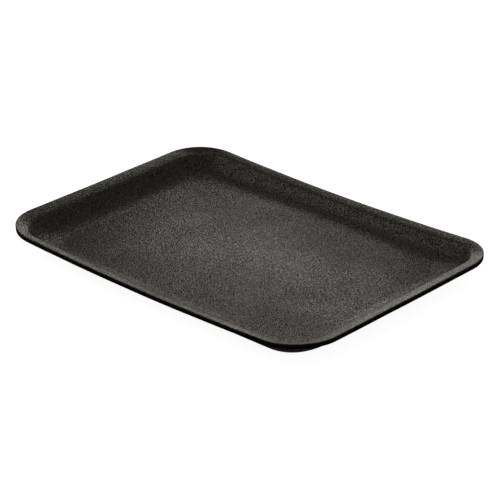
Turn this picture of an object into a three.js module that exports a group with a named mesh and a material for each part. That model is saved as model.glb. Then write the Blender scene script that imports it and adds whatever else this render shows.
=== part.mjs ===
// A shallow rectangular foam tray with rounded corners, as used under fresh food in a shop.
//
// It is one sheet of expanded foam, pressed hot into a mould and then trimmed round the rim.
// Floor, sloping walls and rim are one skin of nearly even thickness, so the tray is one solid.
// Units are millimetres. +Z is up, +X runs along the long sides, and the origin is the middle of
// the underside, so the tray stands on z = 0.

import * as THREE from "three";

// Overall size over the rim, and the height of its corners above the table.
const LENGTH = 209.6;
const WIDTH = 146.05;
const HEIGHT = 13.9;

// Corner radii seen from above: the trimmed rim, and the edge of the flat floor.
const RIM_CORNER_RADIUS = 23.1;
const FLOOR_CORNER_RADIUS = 16;

// Foam thickness at the floor, half way up the wall, and at the trimmed rim.
const FLOOR_THICKNESS = 3;
const WALL_THICKNESS = 3;
const RIM_THICKNESS = 2.4;

// Small round on the upper edge of the trimmed rim.
const LIP_RADIUS = 0.3;

// The wall of the two long sides: breadth of the rim, its slope down to the inside at the
// trimmed edge and at its inner end, round of the crest, slope of the wall from the horizontal,
// and round between wall and floor.
const LONG_RIM_BREADTH = 3.8;
const LONG_EDGE_SLOPE = 13;
const LONG_RIM_SLOPE = 21;
const LONG_CREST_RADIUS = 5;
const LONG_WALL_ANGLE = 54;
const LONG_FOOT_RADIUS = 12;

// The same six for the two short sides, where the rim is broader and the foot rounder.
const SHORT_RIM_BREADTH = 5.8;
const SHORT_EDGE_SLOPE = 11;
const SHORT_RIM_SLOPE = 19;
const SHORT_CREST_RADIUS = 5;
const SHORT_WALL_ANGLE = 54;
const SHORT_FOOT_RADIUS = 17;

// The rim is lower between the corners: how far it dips in the middle of each side.
const LONG_DIP = 3.1;
const SHORT_DIP = 0.5;

// At the round corners the rim falls a little more steeply to the inside: the extra drop, how
// far in from the edge it is greatest, and how much further in it has faded out.
const CORNER_DROP = 0.9;
const CORNER_DROP_AT = 4;
const CORNER_DROP_FADE = 12;

// Facets: along a long side, along a short side, round a corner, along an arc of the section.
const LONG_STEPS = 14;
const SHORT_STEPS = 8;
const CORNER_STEPS = 10;
const RIM_STEPS = 2;
const ARC_STEPS = 6;
const LIP_STEPS = 3;

const SKIN_COLOUR = 0x1d1c1a;
const SKIN_ROUGHNESS = 0.55;

const halfLength = LENGTH / 2;
const halfWidth = WIDTH / 2;

// How far the rim dips at a place given as shares of the half length and half width.
// Each side dips along a parabola, which fades out quickly away from that side.
function dipAt(u, v) {
  return LONG_DIP * (1 - u * u) * v ** 4 + SHORT_DIP * (1 - v * v) * u ** 4;
}

// The round corners dip a little too, so the rim starts that much higher and the highest
// point of a corner ends at HEIGHT.
const cornerDips = [];
for (let i = 0; i <= CORNER_STEPS; i++) {
  const angle = (Math.PI / 2) * (i / CORNER_STEPS);
  const x = halfLength - RIM_CORNER_RADIUS * (1 - Math.cos(angle));
  const y = halfWidth - RIM_CORNER_RADIUS * (1 - Math.sin(angle));
  cornerDips.push(dipAt(x / halfLength, y / halfWidth));
}
const rimTop = HEIGHT + Math.min(...cornerDips);
const wallDrop = rimTop - FLOOR_THICKNESS;

// Points along an arc that starts at a point and turns downwards from one slope to another.
function arcPoints(start, radius, first, last, steps) {
  const points = [];
  for (let i = 0; i <= steps; i++) {
    const slope = first + ((last - first) * i) / steps;
    points.push({
      inset: start.inset + radius * (Math.sin(slope) - Math.sin(first)),
      z: start.z - radius * (Math.cos(first) - Math.cos(slope)),
      slope,
    });
  }
  return points;
}

// The upper outline of a wall in its own plane, from the rim to the floor. Each point has its
// inset from the trimmed edge, its height, and the slope of the surface there.
function upperSection(rimBreadth, edgeSlope, rimSlope, crestRadius, wallAngle, footRadius) {
  const first = THREE.MathUtils.degToRad(edgeSlope);
  const last = THREE.MathUtils.degToRad(rimSlope);
  const angle = THREE.MathUtils.degToRad(wallAngle);
  const rimRadius = rimBreadth / (Math.sin(last) - Math.sin(first));
  const rim = arcPoints({ inset: LIP_RADIUS, z: rimTop }, rimRadius, first, last, RIM_STEPS);
  const crest = arcPoints(rim.at(-1), crestRadius, last, angle, ARC_STEPS);

  // The foot takes the drop that is left, at most, and a straight wall joins it to the crest.
  const left = crest.at(-1).z - FLOOR_THICKNESS;
  const foot = Math.min(footRadius, left / (1 - Math.cos(angle)));
  const straightDrop = left - foot * (1 - Math.cos(angle));
  const run = crest.at(-1).inset + straightDrop / Math.tan(angle) + foot * Math.sin(angle);
  const points = [...rim, ...crest.slice(1)];
  for (let i = ARC_STEPS; i >= 0; i--) {
    const slope = (angle * i) / ARC_STEPS;
    points.push({
      inset: run - foot * Math.sin(slope),
      z: FLOOR_THICKNESS + foot * (1 - Math.cos(slope)),
      slope,
    });
  }
  return points;
}

// Foam thickness at a height of the wall: rim, middle and floor, with even changes between.
function thicknessAt(z) {
  const up = (z - FLOOR_THICKNESS) / wallDrop;
  return up > 0.5
    ? THREE.MathUtils.lerp(WALL_THICKNESS, RIM_THICKNESS, 2 * up - 1)
    : THREE.MathUtils.lerp(FLOOR_THICKNESS, WALL_THICKNESS, 2 * up);
}

// The point of the underside that lies square below a point of the upper outline.
function underPoint(p) {
  const thickness = thicknessAt(p.z);
  return {
    inset: p.inset - thickness * Math.sin(p.slope),
    z: p.z - thickness * Math.cos(p.slope),
    reach: p.inset,
    spread: thickness * Math.sin(p.slope),
    lift: (p.z - FLOOR_THICKNESS) / wallDrop,
  };
}

// The whole outline of a wall: up from the floor, over the crest, round the lip, down the
// trimmed edge and back under the tray to the flat base.
function wallSection(...sizes) {
  const upper = upperSection(...sizes).slice(1);
  const top = upper.map((p) => ({
    ...p,
    reach: p.inset,
    spread: 0,
    lift: (p.z - FLOOR_THICKNESS) / wallDrop,
  }));
  const lip = [];
  for (let i = 0; i <= LIP_STEPS; i++) {
    const turn = (Math.PI / 2) * (i / LIP_STEPS);
    lip.push({
      inset: LIP_RADIUS * (1 - Math.sin(turn)),
      z: rimTop - LIP_RADIUS * (1 - Math.cos(turn)),
      reach: 0,
      spread: 0,
      lift: 1,
    });
  }
  const edge = { inset: 0, z: rimTop - RIM_THICKNESS, reach: 0, spread: 0, lift: 1 };
  return [...top.reverse(), ...lip, edge, ...upper.map(underPoint)];
}

const longWall = wallSection(
  LONG_RIM_BREADTH,
  LONG_EDGE_SLOPE,
  LONG_RIM_SLOPE,
  LONG_CREST_RADIUS,
  LONG_WALL_ANGLE,
  LONG_FOOT_RADIUS,
);
const shortWall = wallSection(
  SHORT_RIM_BREADTH,
  SHORT_EDGE_SLOPE,
  SHORT_RIM_SLOPE,
  SHORT_CREST_RADIUS,
  SHORT_WALL_ANGLE,
  SHORT_FOOT_RADIUS,
);

// The share of the extra corner drop at a distance in from the edge: none at either end.
function cornerShape(reach) {
  const past = Math.max(0, reach - CORNER_DROP_AT) / CORNER_DROP_FADE;
  return Math.min(reach / CORNER_DROP_AT, 1) * Math.max(0, 1 - past);
}

// One closed loop round the tray through the same point of both wall sections. It is a
// rectangle with round corners, whose height passes from one section to the other at the corners.
function loopAt(longPoint, shortPoint) {
  const halfX = halfLength - shortPoint.inset;
  const halfY = halfWidth - longPoint.inset;
  const reach = (longPoint.reach + shortPoint.reach) / 2;
  const radius =
    Math.max(FLOOR_CORNER_RADIUS, RIM_CORNER_RADIUS - reach) +
    (longPoint.spread + shortPoint.spread) / 2;
  const loop = [];

  const add = (x, y, shortShare) => {
    const z = THREE.MathUtils.lerp(longPoint.z, shortPoint.z, shortShare);
    const lift = THREE.MathUtils.lerp(longPoint.lift, shortPoint.lift, shortShare);
    const corner = CORNER_DROP * 4 * shortShare * (1 - shortShare) * cornerShape(reach);
    loop.push(new THREE.Vector3(x, y, z - corner - lift * dipAt(x / halfX, y / halfY)));
  };

  // Four quarters, each a corner arc and the side that follows it, counter-clockwise from +X.
  for (let quarter = 0; quarter < 4; quarter++) {
    const signX = quarter === 0 || quarter === 3 ? 1 : -1;
    const signY = quarter < 2 ? 1 : -1;
    const centreX = signX * (halfX - radius);
    const centreY = signY * (halfY - radius);
    for (let i = 0; i <= CORNER_STEPS; i++) {
      const angle = (Math.PI / 2) * (quarter + i / CORNER_STEPS);
      const x = centreX + radius * Math.cos(angle);
      const y = centreY + radius * Math.sin(angle);
      add(x, y, Math.cos(angle) ** 2);
    }
    const alongX = quarter % 2 === 0;
    const steps = alongX ? LONG_STEPS : SHORT_STEPS;
    for (let i = 1; i < steps; i++) {
      const share = 1 - (2 * i) / steps;
      if (alongX) add(centreX * share, signY * halfY, 0);
      else add(signX * halfX, centreY * share, 1);
    }
  }
  return loop;
}

// The closed skin: the loops from the floor's edge round to the base's edge, joined by
// facets, with the flat floor and the flat base as fans round their middle points.
function trayGeometry() {
  const loops = longWall.map((point, i) => loopAt(point, shortWall[i]));
  const count = loops[0].length;
  const vertices = loops.flat();
  const indices = [];

  for (let row = 0; row + 1 < loops.length; row++) {
    for (let i = 0; i < count; i++) {
      const next = (i + 1) % count;
      const a = row * count + i;
      const b = row * count + next;
      const c = a + count;
      const d = b + count;
      indices.push(a, c, b, b, c, d);
    }
  }
  const floorMiddle = vertices.push(new THREE.Vector3(0, 0, FLOOR_THICKNESS)) - 1;
  const baseMiddle = vertices.push(new THREE.Vector3(0, 0, 0)) - 1;
  const lastRow = (loops.length - 1) * count;
  for (let i = 0; i < count; i++) {
    const next = (i + 1) % count;
    indices.push(floorMiddle, i, next);
    indices.push(baseMiddle, lastRow + next, lastRow + i);
  }

  const geometry = new THREE.BufferGeometry().setFromPoints(vertices);
  geometry.setIndex(indices);
  geometry.computeVertexNormals();
  return geometry;
}

const foam = new THREE.MeshStandardMaterial({
  color: SKIN_COLOUR,
  roughness: SKIN_ROUGHNESS,
  metalness: 0,
});

const tray = new THREE.Group();
const foamTray = new THREE.Mesh(trayGeometry(), foam);
foamTray.name = "foam_tray";
tray.add(foamTray);

export default tray;
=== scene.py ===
# %% [markdown]
# # A shallow black foam tray
#
# The real tray is one sheet of expanded foam, pressed hot into a mould and trimmed round the
# rim. Its outline is simple. What makes it look real are three quieter things: the foam is
# soft, so no surface is quite flat; its skin is a fine grain of closed cells that glitters a
# little; and the rim is a soft round that ends in a matt edge, where a knife cut it.
#
# The imported model is loaded first, as a fixed frame. It has the true size of the tray, and
# everything below is built in its space. Its box is kept.

import math
from collections import namedtuple

import bpy
from mathutils import Matrix, Vector, noise


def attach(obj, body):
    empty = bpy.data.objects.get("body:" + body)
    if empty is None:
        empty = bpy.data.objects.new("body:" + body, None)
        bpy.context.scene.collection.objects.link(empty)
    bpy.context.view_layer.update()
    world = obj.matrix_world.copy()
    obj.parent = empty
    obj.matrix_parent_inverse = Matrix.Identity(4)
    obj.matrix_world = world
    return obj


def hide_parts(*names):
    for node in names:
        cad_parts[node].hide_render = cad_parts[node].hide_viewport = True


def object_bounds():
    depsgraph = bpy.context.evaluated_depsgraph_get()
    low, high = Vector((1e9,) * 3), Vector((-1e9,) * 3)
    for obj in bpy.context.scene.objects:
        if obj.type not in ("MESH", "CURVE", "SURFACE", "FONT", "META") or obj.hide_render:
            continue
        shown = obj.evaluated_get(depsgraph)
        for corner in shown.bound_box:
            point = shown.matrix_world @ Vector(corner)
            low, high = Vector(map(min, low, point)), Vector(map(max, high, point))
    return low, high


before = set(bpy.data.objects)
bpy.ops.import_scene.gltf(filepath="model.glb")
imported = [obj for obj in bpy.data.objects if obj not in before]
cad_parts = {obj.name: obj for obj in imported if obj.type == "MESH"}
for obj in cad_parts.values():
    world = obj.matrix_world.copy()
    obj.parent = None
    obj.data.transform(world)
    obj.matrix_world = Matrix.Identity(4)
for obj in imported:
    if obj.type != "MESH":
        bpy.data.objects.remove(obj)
cad_low, cad_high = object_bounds()
MM = 0.001
print("tray in the frame, mm:", [round(v / MM, 1) for v in cad_high - cad_low])

# %% [markdown]
# ## The sizes
#
# A tray like this is one wall section carried round a rectangle with round corners. It could
# be a box with bevels, but the walls change round the tray: the short sides have a broader
# rim and a rounder foot than the long ones. So each kind of side gets a wall of its own, with
# the same six sizes, and a loft passes from one to the other at the corners. Length, width
# and height are read from the frame and the others repeat the values of the solid in it, so
# the fine mesh lies where the plain one does. Lengths are in millimetres, slopes in degrees.

# %% Name the sizes of the tray
LENGTH = (cad_high.x - cad_low.x) / MM
WIDTH = (cad_high.y - cad_low.y) / MM
HEIGHT = (cad_high.z - cad_low.z) / MM

RIM_CORNER_RADIUS = 23.1
FLOOR_CORNER_RADIUS = 16.0
FLOOR_THICKNESS = 3.0
RIM_THICKNESS = 2.4
LIP_RADIUS = 0.3

# Breadth of the rim, its slope at the cut edge and at its inner end, radius of the crest,
# slope of the wall, and radius of the foot.
Wall = namedtuple("Wall", "rim_breadth edge_slope rim_slope crest_radius wall_slope foot_radius")
LONG_WALL = Wall(3.8, 13.0, 21.0, 5.0, 54.0, 12.0)
SHORT_WALL = Wall(5.8, 11.0, 19.0, 5.0, 54.0, 17.0)
print("walls:", LONG_WALL, SHORT_WALL)

# %% [markdown]
# ## The dip of the rim
#
# Seen from the side, the real rim isn't level. It hangs a little between the corners, most of
# all on the long sides. The whole tray could be bent with a lattice, but a formula is easier
# to set: a parabola along each side, times a power that fades it out away from that side. The
# round corners dip slightly too, so the rim starts a little above the height of the tray, and
# the highest point of a corner ends exactly on it.

# %% Shape the dip
LONG_DIP = 3.1
SHORT_DIP = 0.5
DIP_FADE = 4
DIP_CHECKS = 10


def rim_dip(u, v):
    """How far the rim dips at a place given in shares of the half length and half width."""
    long_sides = LONG_DIP * (1 - u * u) * v ** DIP_FADE
    short_sides = SHORT_DIP * (1 - v * v) * u ** DIP_FADE
    return long_sides + short_sides


def least_corner_dip():
    """The least dip on a round corner, which is where the tray reaches its full height."""
    dips = []
    for i in range(DIP_CHECKS + 1):
        angle = math.pi / 2 * i / DIP_CHECKS
        u = 1 - RIM_CORNER_RADIUS * (1 - math.cos(angle)) / (LENGTH / 2)
        v = 1 - RIM_CORNER_RADIUS * (1 - math.sin(angle)) / (WIDTH / 2)
        dips.append(rim_dip(u, v))
    return min(dips)


RIM_TOP = HEIGHT + least_corner_dip()
DROP = RIM_TOP - FLOOR_THICKNESS
print("rim top before the dips, mm:", round(RIM_TOP, 2))

# %% [markdown]
# ## The upper line of a wall
#
# Cut through, a wall shows a line of a few arcs: a rim that slopes gently to the inside, a
# round crest, a straight wall and a hollow foot. It could be drawn by eye as a curve, but
# arcs with named radii can be changed one at a time and compared with the shading in the
# photograph. The slope is kept with each point, because the thickness of the foam is measured
# square to it.

# %% Draw the upper line
RIM_STEPS = 6
ARC_STEPS = 14
WALL_STEPS = 4


def arc(start, radius, first, last, steps):
    """Points along an arc from start that turns downwards, as (inset, height, slope)."""
    line = []
    for i in range(steps + 1):
        slope = first + (last - first) * i / steps
        inset = start[0] + radius * (math.sin(slope) - math.sin(first))
        z = start[1] - radius * (math.cos(first) - math.cos(slope))
        line.append((inset, z, slope))
    return line


def upper_line(wall):
    """The upper surface from the rim to the floor, as (inset, height, slope)."""
    first = math.radians(wall.edge_slope)
    last = math.radians(wall.rim_slope)
    steep = math.radians(wall.wall_slope)
    rim_radius = wall.rim_breadth / (math.sin(last) - math.sin(first))
    line = arc((LIP_RADIUS, RIM_TOP), rim_radius, first, last, RIM_STEPS)
    line += arc(line[-1], wall.crest_radius, last, steep, ARC_STEPS)[1:]

    top_inset, top_z, _ = line[-1]
    foot_z = FLOOR_THICKNESS + wall.foot_radius * (1 - math.cos(steep))
    foot_inset = top_inset + (top_z - foot_z) / math.tan(steep)
    for i in range(1, WALL_STEPS):
        share = i / WALL_STEPS
        inset = top_inset + (foot_inset - top_inset) * share
        line.append((inset, top_z + (foot_z - top_z) * share, steep))

    run = foot_inset + wall.foot_radius * math.sin(steep)
    for i in range(ARC_STEPS, -1, -1):
        slope = steep * i / ARC_STEPS
        z = FLOOR_THICKNESS + wall.foot_radius * (1 - math.cos(slope))
        line.append((run - wall.foot_radius * math.sin(slope), z, slope))
    return line


for wall_name, wall in (("long", LONG_WALL), ("short", SHORT_WALL)):
    print(wall_name, "wall, from cut edge to flat floor, mm:", round(upper_line(wall)[-1][0], 1))

# %% [markdown]
# ## The whole wall in section
#
# Past the rim the foam turns over a tiny round lip, down the edge that the knife cut, and
# back underneath. A Solidify modifier could give the thickness, but the real sheet is pressed
# thinner towards the rim and its cut edge stands upright, so the underside is drawn as well:
# each upper point moves square to the surface by the thickness there. The first upper point
# is dropped, because the lip has it already and its partner below would lie outside the cut.
#
# Each point of the section has its inset from the cut edge and its height. It also has the
# inset of the upper point that it belongs to (reach), how much rounder its corner is than
# that one's (spread), and how much it follows the dips of the rim, from 0 at the floor to 1
# at the rim (lift).

# %% Draw both sections
LIP_STEPS = 5
EDGE_STEPS = 3
WallPoint = namedtuple("WallPoint", "inset z reach spread lift")


def thickness_at(z):
    """The foam is full at the floor and half way up, and thins out towards the rim."""
    up = (z - FLOOR_THICKNESS) / DROP
    return FLOOR_THICKNESS + (RIM_THICKNESS - FLOOR_THICKNESS) * max(0.0, 2 * up - 1)


def lip_and_edge():
    """The round lip, which belongs to the skin, and the upright cut edge below it."""
    lip = []
    for i in range(LIP_STEPS + 1):
        turn = math.pi / 2 * i / LIP_STEPS
        inset = LIP_RADIUS * (1 - math.sin(turn))
        lip.append(WallPoint(inset, RIM_TOP - LIP_RADIUS * (1 - math.cos(turn)), 0.0, 0.0, 1.0))
    edge = []
    for i in range(1, EDGE_STEPS + 1):
        fall = LIP_RADIUS + (RIM_THICKNESS - LIP_RADIUS) * i / EDGE_STEPS
        edge.append(WallPoint(0.0, RIM_TOP - fall, 0.0, 0.0, 1.0))
    return lip, edge


def wall_section(wall):
    """A wall in three parts: floor to lip, cut edge, and underside."""
    upper = []
    under = []
    for inset, z, slope in upper_line(wall)[1:]:
        lift = (z - FLOOR_THICKNESS) / DROP
        thick = thickness_at(z)
        side = thick * math.sin(slope)
        upper.append(WallPoint(inset, z, inset, 0.0, lift))
        under.append(WallPoint(inset - side, z - thick * math.cos(slope), inset, side, lift))
    lip, edge = lip_and_edge()
    return upper[::-1] + lip, edge, under


long_top, long_edge, long_under = wall_section(LONG_WALL)
short_top, short_edge, short_under = wall_section(SHORT_WALL)
long_section = long_top + long_edge + long_under
short_section = short_top + short_edge + short_under
print("points in a section:", len(long_section), "of them on top:", len(long_top))

# %% [markdown]
# ## Loops round the tray
#
# Each pair of section points gives one closed loop, a rectangle with round corners. The
# corner radius shrinks from the rim to the floor as the wall moves in, and at a corner the
# height passes from the long section to the short one. In the photograph the rim looks darker
# round the corners. That is read here as a rim that falls more steeply there, so the loops
# get an extra drop at the corners, greatest a few millimetres in and gone at the edge and at
# the floor. It is a guess from shade, and one corner still looks lighter than the real one.

# %% Lay out the loops
LONG_STEPS = 84
SHORT_STEPS = 56
CORNER_STEPS = 30
CORNER_DROP = 0.9
CORNER_DROP_AT = 4.0
CORNER_DROP_FADE = 12.0
QUARTERS = ((1, 1), (-1, 1), (-1, -1), (1, -1))


def corner_drop(reach, share):
    """The extra drop at a distance from the edge and a place round the corner."""
    past = max(0.0, reach - CORNER_DROP_AT) / CORNER_DROP_FADE
    shape = min(reach / CORNER_DROP_AT, 1.0) * max(0.0, 1 - past)
    return CORNER_DROP * 4 * share * (1 - share) * shape


def round_rectangle(half_x, half_y, radius):
    """Points counter-clockwise from +X, as (x, y, share of the short wall)."""
    outline = []
    for quarter, (sign_x, sign_y) in enumerate(QUARTERS):
        centre_x = sign_x * (half_x - radius)
        centre_y = sign_y * (half_y - radius)
        for i in range(CORNER_STEPS + 1):
            angle = math.pi / 2 * (quarter + i / CORNER_STEPS)
            x = centre_x + radius * math.cos(angle)
            y = centre_y + radius * math.sin(angle)
            outline.append((x, y, math.cos(angle) ** 2))
        steps = SHORT_STEPS if quarter % 2 else LONG_STEPS
        for i in range(1, steps):
            along = 1 - 2 * i / steps
            if quarter % 2:
                outline.append((sign_x * half_x, centre_y * along, 1.0))
            else:
                outline.append((centre_x * along, sign_y * half_y, 0.0))
    return outline


def loop_through(long_point, short_point):
    """One closed loop through the same point of both sections."""
    half_x = LENGTH / 2 - short_point.inset
    half_y = WIDTH / 2 - long_point.inset
    reach = (long_point.reach + short_point.reach) / 2
    radius = max(FLOOR_CORNER_RADIUS, RIM_CORNER_RADIUS - reach)
    radius += (long_point.spread + short_point.spread) / 2
    loop = []
    for x, y, share in round_rectangle(half_x, half_y, radius):
        z = long_point.z + (short_point.z - long_point.z) * share
        z -= corner_drop(reach, share)
        lift = long_point.lift + (short_point.lift - long_point.lift) * share
        loop.append(Vector((x, y, z - lift * rim_dip(x / half_x, y / half_y))))
    return loop


wall_loops = [loop_through(a, b) for a, b in zip(long_section, short_section)]
print("loops in the wall:", len(wall_loops), "points in each:", len(wall_loops[0]))

# %% [markdown]
# ## Floor and base
#
# The flat floor could be one face, but the foam will be bent a little in the next step, so
# it needs vertices in its middle. It is filled with smaller and smaller copies of its own
# edge loop. The base underneath is filled in the same way, in the opposite order, so that all
# the loops follow each other over the whole skin: from the middle of the floor out to the rim
# and back to the middle of the base.

# %% Fill the floor and the base with loops
FLOOR_RINGS = 44


def shrunk(loop, share):
    """A smaller copy of a loop, at the same height."""
    return [Vector((p.x * share, p.y * share, p.z)) for p in loop]


shares = [i / FLOOR_RINGS for i in range(1, FLOOR_RINGS)]
floor_loops = [shrunk(wall_loops[0], share) for share in shares]
base_loops = [shrunk(wall_loops[-1], share) for share in reversed(shares)]
loops = floor_loops + wall_loops + base_loops
TOP_LOOPS = len(floor_loops) + len(long_top)
print("loops:", len(loops), "of them on top:", TOP_LOOPS)

# %% [markdown]
# ## Softness
#
# Pressed foam is never quite flat. The floor sags a little along its middle and has shallow
# swells a few centimetres across, and the rim wanders by a tenth or two of a millimetre. On a
# satin surface seen at a low angle this breaks the highlight into soft patches. Bump could
# give the patches, but the swells also show in the outline of the rim, so the vertices
# themselves are moved. The base stays flat, because the tray stands on it.
#
# The noise is a fixed function of place, so the tray is the same on every run. The three
# directions of the wander read one noise at three places: Blender's ready-made noise vector
# can give other values on each run.

# %% Bend the foam a little
FLOOR_SAG = 0.6
SAG_REACH = WIDTH / 2.4
SWELL, SWELL_SIZE = 0.22, 38.0
SMALL_SWELL, SMALL_SWELL_SIZE = 0.077, 15.2
RIM_WANDER, RIM_WANDER_SIZE = 0.18, 30.0
WANDER_UP = 0.5
WANDER_PLACES = (Vector((9.3, -1.5, -7.9)), Vector((0.0, 0.0, 0.0)), Vector((6.3, 0.2, -2.7)))
BASE_LIFT = 0.02


def soften(point, lift, on_top):
    """Moves a point by the swells of the foam; nothing moves on the base."""
    if not on_top and lift < BASE_LIFT:
        return point
    swell = FLOOR_SAG * (0.5 - max(0.0, 1 - (point.y / SAG_REACH) ** 2))
    swell += SWELL * noise.noise(point / SWELL_SIZE)
    swell += SMALL_SWELL * noise.noise(point / SMALL_SWELL_SIZE)
    place = point / RIM_WANDER_SIZE
    wander = RIM_WANDER * Vector([noise.noise(place + shift) for shift in WANDER_PLACES])
    wander.z *= WANDER_UP
    moved = point + wander * lift
    moved.z += swell * (1 - abs(lift))
    moved.x = max(-LENGTH / 2, min(LENGTH / 2, moved.x))
    moved.y = max(-WIDTH / 2, min(WIDTH / 2, moved.y))
    return moved


section_lifts = [(a.lift + b.lift) / 2 for a, b in zip(long_section, short_section)]
lifts = [0.0] * len(floor_loops) + section_lifts + [0.0] * len(base_loops)
points = []
for row, (loop, lift) in enumerate(zip(loops, lifts)):
    points += [soften(point, lift, row < TOP_LOOPS) for point in loop]
print("vertices:", len(points))

# %% [markdown]
# ## The mesh
#
# The skin has no seam, so it is one closed mesh: quads join the loops, and the innermost loop
# at each end is closed with a fan round a point in its middle. A Screw modifier turns a
# section round one axis and can't follow a rectangle, so the faces are listed in code.

# %% Build the mesh
PER_LOOP = len(loops[0])


def quads_and_fans():
    """Quads between neighbouring loops and a fan at each end, as a list of faces."""
    faces = []
    for row in range(len(loops) - 1):
        for i in range(PER_LOOP):
            a = row * PER_LOOP + i
            b = row * PER_LOOP + (i + 1) % PER_LOOP
            faces.append((a, a + PER_LOOP, b + PER_LOOP, b))
    last = (len(loops) - 1) * PER_LOOP
    for i in range(PER_LOOP):
        j = (i + 1) % PER_LOOP
        faces.append((len(points), i, j))
        faces.append((len(points) + 1, last + j, last + i))
    return faces


floor_middle = sum(points[:PER_LOOP], Vector()) / PER_LOOP
base_middle = sum(points[-PER_LOOP:], Vector()) / PER_LOOP
vertices = [point * MM for point in points + [floor_middle, base_middle]]
mesh = bpy.data.meshes.new("foam_tray_skin")
mesh.from_pydata(vertices, [], quads_and_fans())
mesh.validate()
mesh.polygons.foreach_set("use_smooth", [True] * len(mesh.polygons))
tray = bpy.data.objects.new("foam_tray_skin", mesh)
bpy.context.scene.collection.objects.link(tray)
print("faces:", len(mesh.polygons))

# %% [markdown]
# ## The cut edge
#
# The knife opens the cells, so the edge of the real tray is duller than its moulded skin, and
# it meets the underside in a crisp corner. Its darker colour is painted shade. The edge could
# be a piece of its own, but it is the same sheet: its faces only get a second material, and
# the corner below them is marked sharp. Everything else is shaded smooth. The faces are found
# by their place, because they follow each other in the order in which the loops were joined.

# %% Find the faces and the corner of the cut
CUT_START = (TOP_LOOPS - 1) * PER_LOOP
CUT_END = CUT_START + EDGE_STEPS * PER_LOOP
cut_faces = [face.index for face in mesh.polygons if CUT_START <= face.index < CUT_END]
lower_corner = range(CUT_END, CUT_END + PER_LOOP)
sharp_edges = [edge for edge in mesh.edges if all(v in lower_corner for v in edge.vertices)]
for edge in sharp_edges:
    edge.use_edge_sharp = True
print("faces on the cut:", len(cut_faces), "sharp edges below it:", len(sharp_edges))

# %% [markdown]
# ## Helpers for the materials
#
# Each finish here is a Principled shader whose inputs come from textures in object space, so
# the grain keeps its true size and stays on the tray from any side. The nodes could be wired
# one by one, but four helpers keep the trees short enough to read: one starts a material, one
# adds a node with its inputs, one turns a range of numbers into another, and one does sums.

# %% Write the helpers


def new_material(name):
    """An empty node material with a Principled shader, its tree and that shader."""
    material = bpy.data.materials.new(name)
    material.use_nodes = True
    tree = material.node_tree
    tree.nodes.clear()
    out = tree.nodes.new("ShaderNodeOutputMaterial")
    shader = tree.nodes.new("ShaderNodeBsdfPrincipled")
    tree.links.new(shader.outputs["BSDF"], out.inputs["Surface"])
    return material, tree, shader


def add(tree, kind, inputs=None, **settings):
    """A node of that kind, with its settings, its input values and its links."""
    node = tree.nodes.new(kind)
    for key, value in settings.items():
        setattr(node, key, value)
    for key, value in (inputs or {}).items():
        if hasattr(value, "is_output"):
            tree.links.new(value, node.inputs[key])
        else:
            node.inputs[key].default_value = value
    return node


def ramp(tree, value, start, end, at_start, at_end, shape="SMOOTHSTEP"):
    """A change of a value from one range of numbers to another."""
    inputs = {"Value": value, "From Min": start, "From Max": end}
    inputs.update({"To Min": at_start, "To Max": at_end})
    return add(tree, "ShaderNodeMapRange", inputs, interpolation_type=shape).outputs["Result"]


def arithmetic(tree, operation, *values):
    """One step of arithmetic on one or two values."""
    node = add(tree, "ShaderNodeMath", dict(enumerate(values)), operation=operation)
    return node.outputs[0]


print("helpers ready")

# %% [markdown]
# ## Black foam skin: the flecks
#
# Black foam is coloured through with carbon, so its body is nearly black and slightly warm,
# and nearly all the light that comes off it is gloss. The gloss isn't even. The crowns of the
# cells were pressed smooth against the mould and shine, and the gaps between them are dull,
# so that the skin looks flecked from close by. A picture of such a skin could be tiled over
# the tray, but a fine noise cut off on both sides gives the same flecks without a seam. It is
# turned against the axes of the tray, because noise that is as fine as the picture's own dots
# shows patches when it lies square to them.

# %% Give the skin its flecks
GRAIN_SIZE_MM = 0.5
GRAIN_TURN = (0.6, 0.45, 0.3)
FLECK_START, FLECK_END = 0.42, 0.59
GAP_COLOUR = (0.0110, 0.0102, 0.0088, 1)
FLECK_COLOUR = (0.0260, 0.0240, 0.0205, 1)
GAP_SHINE, FLECK_SHINE = 0.05, 1.0
WARM_SHINE = (1.0, 0.94, 0.84, 1)

skin, tree, shader = new_material("foam_skin")
place = add(tree, "ShaderNodeTexCoord").outputs["Object"]
turned = {"Vector": place, "Rotation": GRAIN_TURN}
oblique = add(tree, "ShaderNodeMapping", turned).outputs["Vector"]
fine = {"Vector": oblique, "Scale": 1 / (GRAIN_SIZE_MM * MM), "Detail": 1.0}
grain = add(tree, "ShaderNodeTexNoise", fine).outputs["Fac"]
fleck = ramp(tree, grain, FLECK_START, FLECK_END, 0.0, 1.0, "LINEAR")

colour = add(tree, "ShaderNodeMix", {"Factor": fleck}, data_type="RGBA")
colour.inputs[6].default_value = GAP_COLOUR
colour.inputs[7].default_value = FLECK_COLOUR
tree.links.new(colour.outputs[2], shader.inputs["Base Color"])
shine = ramp(tree, fleck, 0.0, 1.0, GAP_SHINE, FLECK_SHINE, "LINEAR")
tree.links.new(shine, shader.inputs["Specular IOR Level"])
shader.inputs["Specular Tint"].default_value = WARM_SHINE
print("skin nodes so far:", len(tree.nodes))

# %% [markdown]
# ## Black foam skin: how glossy it is
#
# The photograph shows a band of sheen along the middle of the floor and a slightly glossier
# rim, as if the mould had pressed harder there. Separate materials would meet in hard lines,
# so one roughness is built as a sum instead: slow patches a few centimetres across, less
# roughness along the middle and on the rim, and more in the gaps between the flecks. The
# gaps count less on the rim, where the skin looks smoothest.

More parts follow.
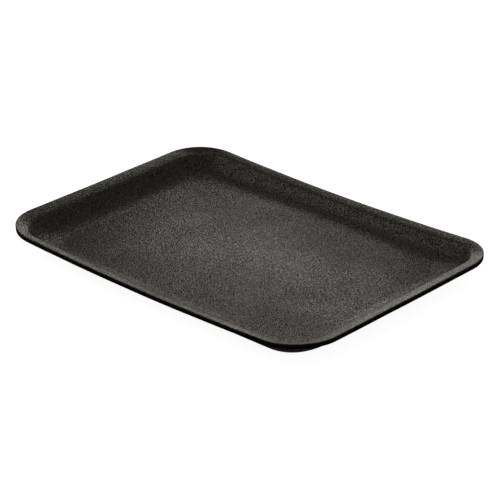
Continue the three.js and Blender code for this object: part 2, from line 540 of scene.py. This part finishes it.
# %% Give the skin its gloss
PATCHES_PER_METRE = 28.0
PATCH_START, PATCH_END = 0.3, 0.7
SMOOTH_PATCH, ROUGH_PATCH = 0.25, 0.33
BAND_START, BAND_END = 0.006, 0.046
BAND_MIDDLE, BAND_OUTSIDE = -0.07, 0.03
RIM_START, RIM_END = 0.0095, 0.0120
RIM_SMOOTHER = -0.08
GAP_ROUGHER = 0.28
RIM_GAP_SHARE = 0.3

broad = {"Vector": place, "Scale": PATCHES_PER_METRE, "Detail": 3.0}
patches = add(tree, "ShaderNodeTexNoise", broad).outputs["Fac"]
axes = add(tree, "ShaderNodeSeparateXYZ", {"Vector": place}).outputs
off_middle = arithmetic(tree, "ABSOLUTE", axes["Y"])

slow = ramp(tree, patches, PATCH_START, PATCH_END, SMOOTH_PATCH, ROUGH_PATCH)
band = ramp(tree, off_middle, BAND_START, BAND_END, BAND_MIDDLE, BAND_OUTSIDE)
rim = ramp(tree, axes["Z"], RIM_START, RIM_END, 0.0, RIM_SMOOTHER)
gaps = ramp(tree, fleck, 0.0, 1.0, GAP_ROUGHER, 0.0)
gap_share = ramp(tree, axes["Z"], RIM_START, RIM_END, 1.0, RIM_GAP_SHARE)
roughness = slow
for part in (band, rim, arithmetic(tree, "MULTIPLY", gaps, gap_share)):
    roughness = arithmetic(tree, "ADD", roughness, part)
tree.links.new(roughness, shader.inputs["Roughness"])
print("skin nodes so far:", len(tree.nodes))

# %% [markdown]
# ## Black foam skin: its cells
#
# The skin is a carpet of tiny closed cells, flattened by the mould, a little under a
# millimetre across. They are far too small to be real mesh, so a cell pattern gives them as
# bump, with the fine grain on top. The bump stays low. A strong one would spread the gloss so
# wide that the crests and the band on the floor lose their light.

# %% Give the skin its cells
CELL_SIZE_MM = 0.9
SKIN_BUMP, SKIN_BUMP_HEIGHT = 0.6, 0.00015

cell_inputs = {"Vector": oblique, "Scale": 1 / (CELL_SIZE_MM * MM)}
cells = add(tree, "ShaderNodeTexVoronoi", cell_inputs).outputs["Distance"]
height = arithmetic(tree, "ADD", cells, grain)
raised = {"Height": height, "Strength": SKIN_BUMP, "Distance": SKIN_BUMP_HEIGHT}
bump = add(tree, "ShaderNodeBump", raised)
tree.links.new(bump.outputs["Normal"], shader.inputs["Normal"])
print("skin nodes:", len(tree.nodes))

# %% [markdown]
# ## Cut foam
#
# On the trimmed edge the cells are open. Light falls into them and hardly any comes back, and
# that shade is painted into the colour: the edge is painted blacker than the skin, darkest in
# the pits of the cells, and has almost no gloss. A plain black would do from far off, but the
# cells can be seen close by, so the same kind of cell pattern paints that shade and pits the
# surface.

# %% Make the cut foam
CUT_CELLS_PER_METRE = 2200.0
# Painted shade: the cut foam is coloured darker than the skin, and darkest in the pits of its
# cells.
CUT_PIT_PAINTED_SHADE = (0.0015, 0.0014, 0.0012, 1)
CUT_WALL_BLACK_AND_SHADE = (0.0050, 0.0047, 0.0042, 1)
CUT_BUMP, CUT_BUMP_HEIGHT = 0.8, 0.0002
CUT_ROUGHNESS = 0.9
CUT_SHINE = 0.1

cut, tree, shader = new_material("foam_cut_edge_with_painted_shade")
place = add(tree, "ShaderNodeTexCoord").outputs["Object"]
cell_inputs = {"Vector": place, "Scale": CUT_CELLS_PER_METRE}
cells = add(tree, "ShaderNodeTexVoronoi", cell_inputs).outputs["Distance"]
# This ramp paints shade into the pits of the cells.
colour = add(tree, "ShaderNodeValToRGB", {"Fac": cells})
colour.color_ramp.elements[0].color = CUT_PIT_PAINTED_SHADE
colour.color_ramp.elements[1].color = CUT_WALL_BLACK_AND_SHADE
tree.links.new(colour.outputs["Color"], shader.inputs["Base Color"])
raised = {"Height": cells, "Strength": CUT_BUMP, "Distance": CUT_BUMP_HEIGHT}
bump = add(tree, "ShaderNodeBump", raised)
tree.links.new(bump.outputs["Normal"], shader.inputs["Normal"])
shader.inputs["Roughness"].default_value = CUT_ROUGHNESS
shader.inputs["Specular IOR Level"].default_value = CUT_SHINE
print("cut nodes:", len(tree.nodes))

# %% [markdown]
# ## The finished piece
#
# Both materials go on the one mesh. The piece then takes the place of the plain solid in the
# frame and rides on the frame's only body, because nothing on the tray moves.

# %% Dress the tray
mesh.materials.append(skin)
mesh.materials.append(cut)
for index in cut_faces:
    mesh.polygons[index].material_index = 1
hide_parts("foam_tray")
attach(tray, "root")
print("materials:", [material.name for material in mesh.materials])

# %% [markdown]
# ## The camera
#
# The photograph was taken with a long lens from a little over a metre away, looking down at
# about 26 degrees across the front corner. A camera could be placed by eye, but small errors
# show at once in the slant of the rims, so these numbers come from fitting the tray's own rim
# to its outline in the photograph. The long lens matters: a short one would make the near
# corner swell and the far one shrink.

# %% Place the camera
AZIMUTH = math.radians(44.19)
ELEVATION = math.radians(25.59)
ROLL = math.radians(-1.05)
DISTANCE = 1.1211
AIM_RIGHT, AIM_UP = 0.00202, -0.00717
IMAGE_SIDE = 500
FOCAL_PIXELS = 2250.46
SENSOR = 36.0
FARTHEST = 20.0


def direction(azimuth, elevation):
    """The way from the tray to a place; azimuth 0 stands on the -Y side."""
    level = math.cos(elevation)
    return Vector((math.sin(azimuth) * level, -math.cos(azimuth) * level, math.sin(elevation)))


back = direction(AZIMUTH, ELEVATION)
right = Vector((math.cos(AZIMUTH), math.sin(AZIMUTH), 0.0))
up = back.cross(right)
aim = right * AIM_RIGHT + up * AIM_UP + Vector((0, 0, RIM_TOP * MM))
turned_right = right * math.cos(ROLL) + up * math.sin(ROLL)
turned_up = up * math.cos(ROLL) - right * math.sin(ROLL)

camera = bpy.data.objects.new("camera", bpy.data.cameras.new("camera"))
camera.data.sensor_width = SENSOR
camera.data.lens = SENSOR * FOCAL_PIXELS / IMAGE_SIDE
camera.data.clip_end = FARTHEST
rotation = Matrix((turned_right, turned_up, back)).transposed()
camera.matrix_world = Matrix.Translation(aim + back * DISTANCE) @ rotation.to_4x4()
bpy.context.scene.collection.objects.link(camera)
bpy.context.scene.camera = camera
print("lens, mm:", round(camera.data.lens, 1))

# %% [markdown]
# ## The floor
#
# The tray stands on a pale studio sweep that the photograph shows as pure white, with only a
# faint shadow by the tray. More light would make the floor white, but it would wash out the
# black foam as well. So the floor glows a little for the camera alone, which lifts it to
# white where it is lit, keeps the shadow, and throws no extra light on the tray.

# %% Set the floor
FLOOR_SIDE = 6.0
FLOOR_GAP = 0.0001
FLOOR_MOTTLE = 3.0
FLOOR_DARK, FLOOR_LIGHT = 0.80, 0.82
FLOOR_ROUGHNESS = 0.9
FLOOR_GLOW = (0.93, 0.93, 0.93, 1)

pale, tree, shader = new_material("studio_floor")
place = add(tree, "ShaderNodeTexCoord").outputs["Object"]
mottle = add(tree, "ShaderNodeTexNoise", {"Vector": place, "Scale": FLOOR_MOTTLE}).outputs["Fac"]
tone = ramp(tree, mottle, 0.0, 1.0, FLOOR_DARK, FLOOR_LIGHT, "LINEAR")
tree.links.new(tone, shader.inputs["Base Color"])
shader.inputs["Roughness"].default_value = FLOOR_ROUGHNESS
shader.inputs["Specular IOR Level"].default_value = 0.0
seen_by_camera = add(tree, "ShaderNodeLightPath").outputs["Is Camera Ray"]
tree.links.new(seen_by_camera, shader.inputs["Emission Strength"])
shader.inputs["Emission Color"].default_value = FLOOR_GLOW

half = FLOOR_SIDE / 2
corners = [(sign_x * half, sign_y * half, 0) for sign_x, sign_y in QUARTERS]
floor_mesh = bpy.data.meshes.new("studio_floor")
floor_mesh.from_pydata(corners, [], [(0, 1, 2, 3)])
floor_mesh.materials.append(pale)
floor = bpy.data.objects.new("studio_floor", floor_mesh)
floor.location.z = -FLOOR_GAP
bpy.context.scene.collection.objects.link(floor)
print("floor, m:", FLOOR_SIDE)

# %% [markdown]
# ## The fill
#
# In a studio, light comes back from every wall. A weak, even, slightly warm light from all
# round does the same here and keeps the sides that face away from the lamps from going fully
# black. The camera sees that world as plain white, so the background stays white however weak
# the fill is.

# %% Set the world
WARM_WHITE = (1.0, 0.96, 0.90)
FILL = 0.21

world = bpy.data.worlds.new("studio")
world.use_nodes = True
bpy.context.scene.world = world
sky = world.node_tree
sky.nodes.clear()
sky_out = add(sky, "ShaderNodeOutputWorld")
seen = add(sky, "ShaderNodeBackground", {"Color": (1, 1, 1, 1), "Strength": 1.0})
fill = add(sky, "ShaderNodeBackground", {"Color": (*WARM_WHITE, 1), "Strength": FILL})
seen_by_camera = add(sky, "ShaderNodeLightPath").outputs["Is Camera Ray"]
either = {0: seen_by_camera, 1: fill.outputs[0], 2: seen.outputs[0]}
mix = add(sky, "ShaderNodeMixShader", either)
sky.links.new(mix.outputs[0], sky_out.inputs["Surface"])
print("fill:", FILL)

# %% [markdown]
# ## The lamps
#
# Black satin foam shows almost only what it reflects, so the place of a lamp matters more
# than its power. Three softboxes share the work. A low one behind the tray is caught by the
# crests of the near sides and draws their bright line. A second stands higher behind it,
# where the flat floor mirrors it towards the camera, and gives the floor its blurred sheen. A
# large one on the left lights the tray from the side, so that the floor doesn't go black
# outside the sheen. Their power was set until floor, walls and crests had the brightness that
# they have in the photograph.

# %% Light it


def softbox(name, azimuth, elevation, distance, side, watts):
    """A square area light that faces the tray."""
    way = direction(math.radians(azimuth), math.radians(elevation))
    light = bpy.data.lights.new(name, "AREA")
    light.shape = "SQUARE"
    light.size = side
    light.energy = watts
    light.color = WARM_WHITE
    lamp = bpy.data.objects.new(name, light)
    lamp.location = way * distance
    lamp.rotation_euler = (-way).to_track_quat("-Z", "Y").to_euler()
    bpy.context.scene.collection.objects.link(lamp)


softbox("low_back_light", azimuth=225, elevation=4, distance=1.2, side=0.35, watts=0.42)
softbox("back_light", azimuth=221, elevation=25, distance=0.7, side=0.20, watts=0.23)
softbox("side_light", azimuth=303, elevation=45, distance=1.2, side=0.6, watts=0.95)
bpy.context.scene.view_settings.view_transform = "Standard"
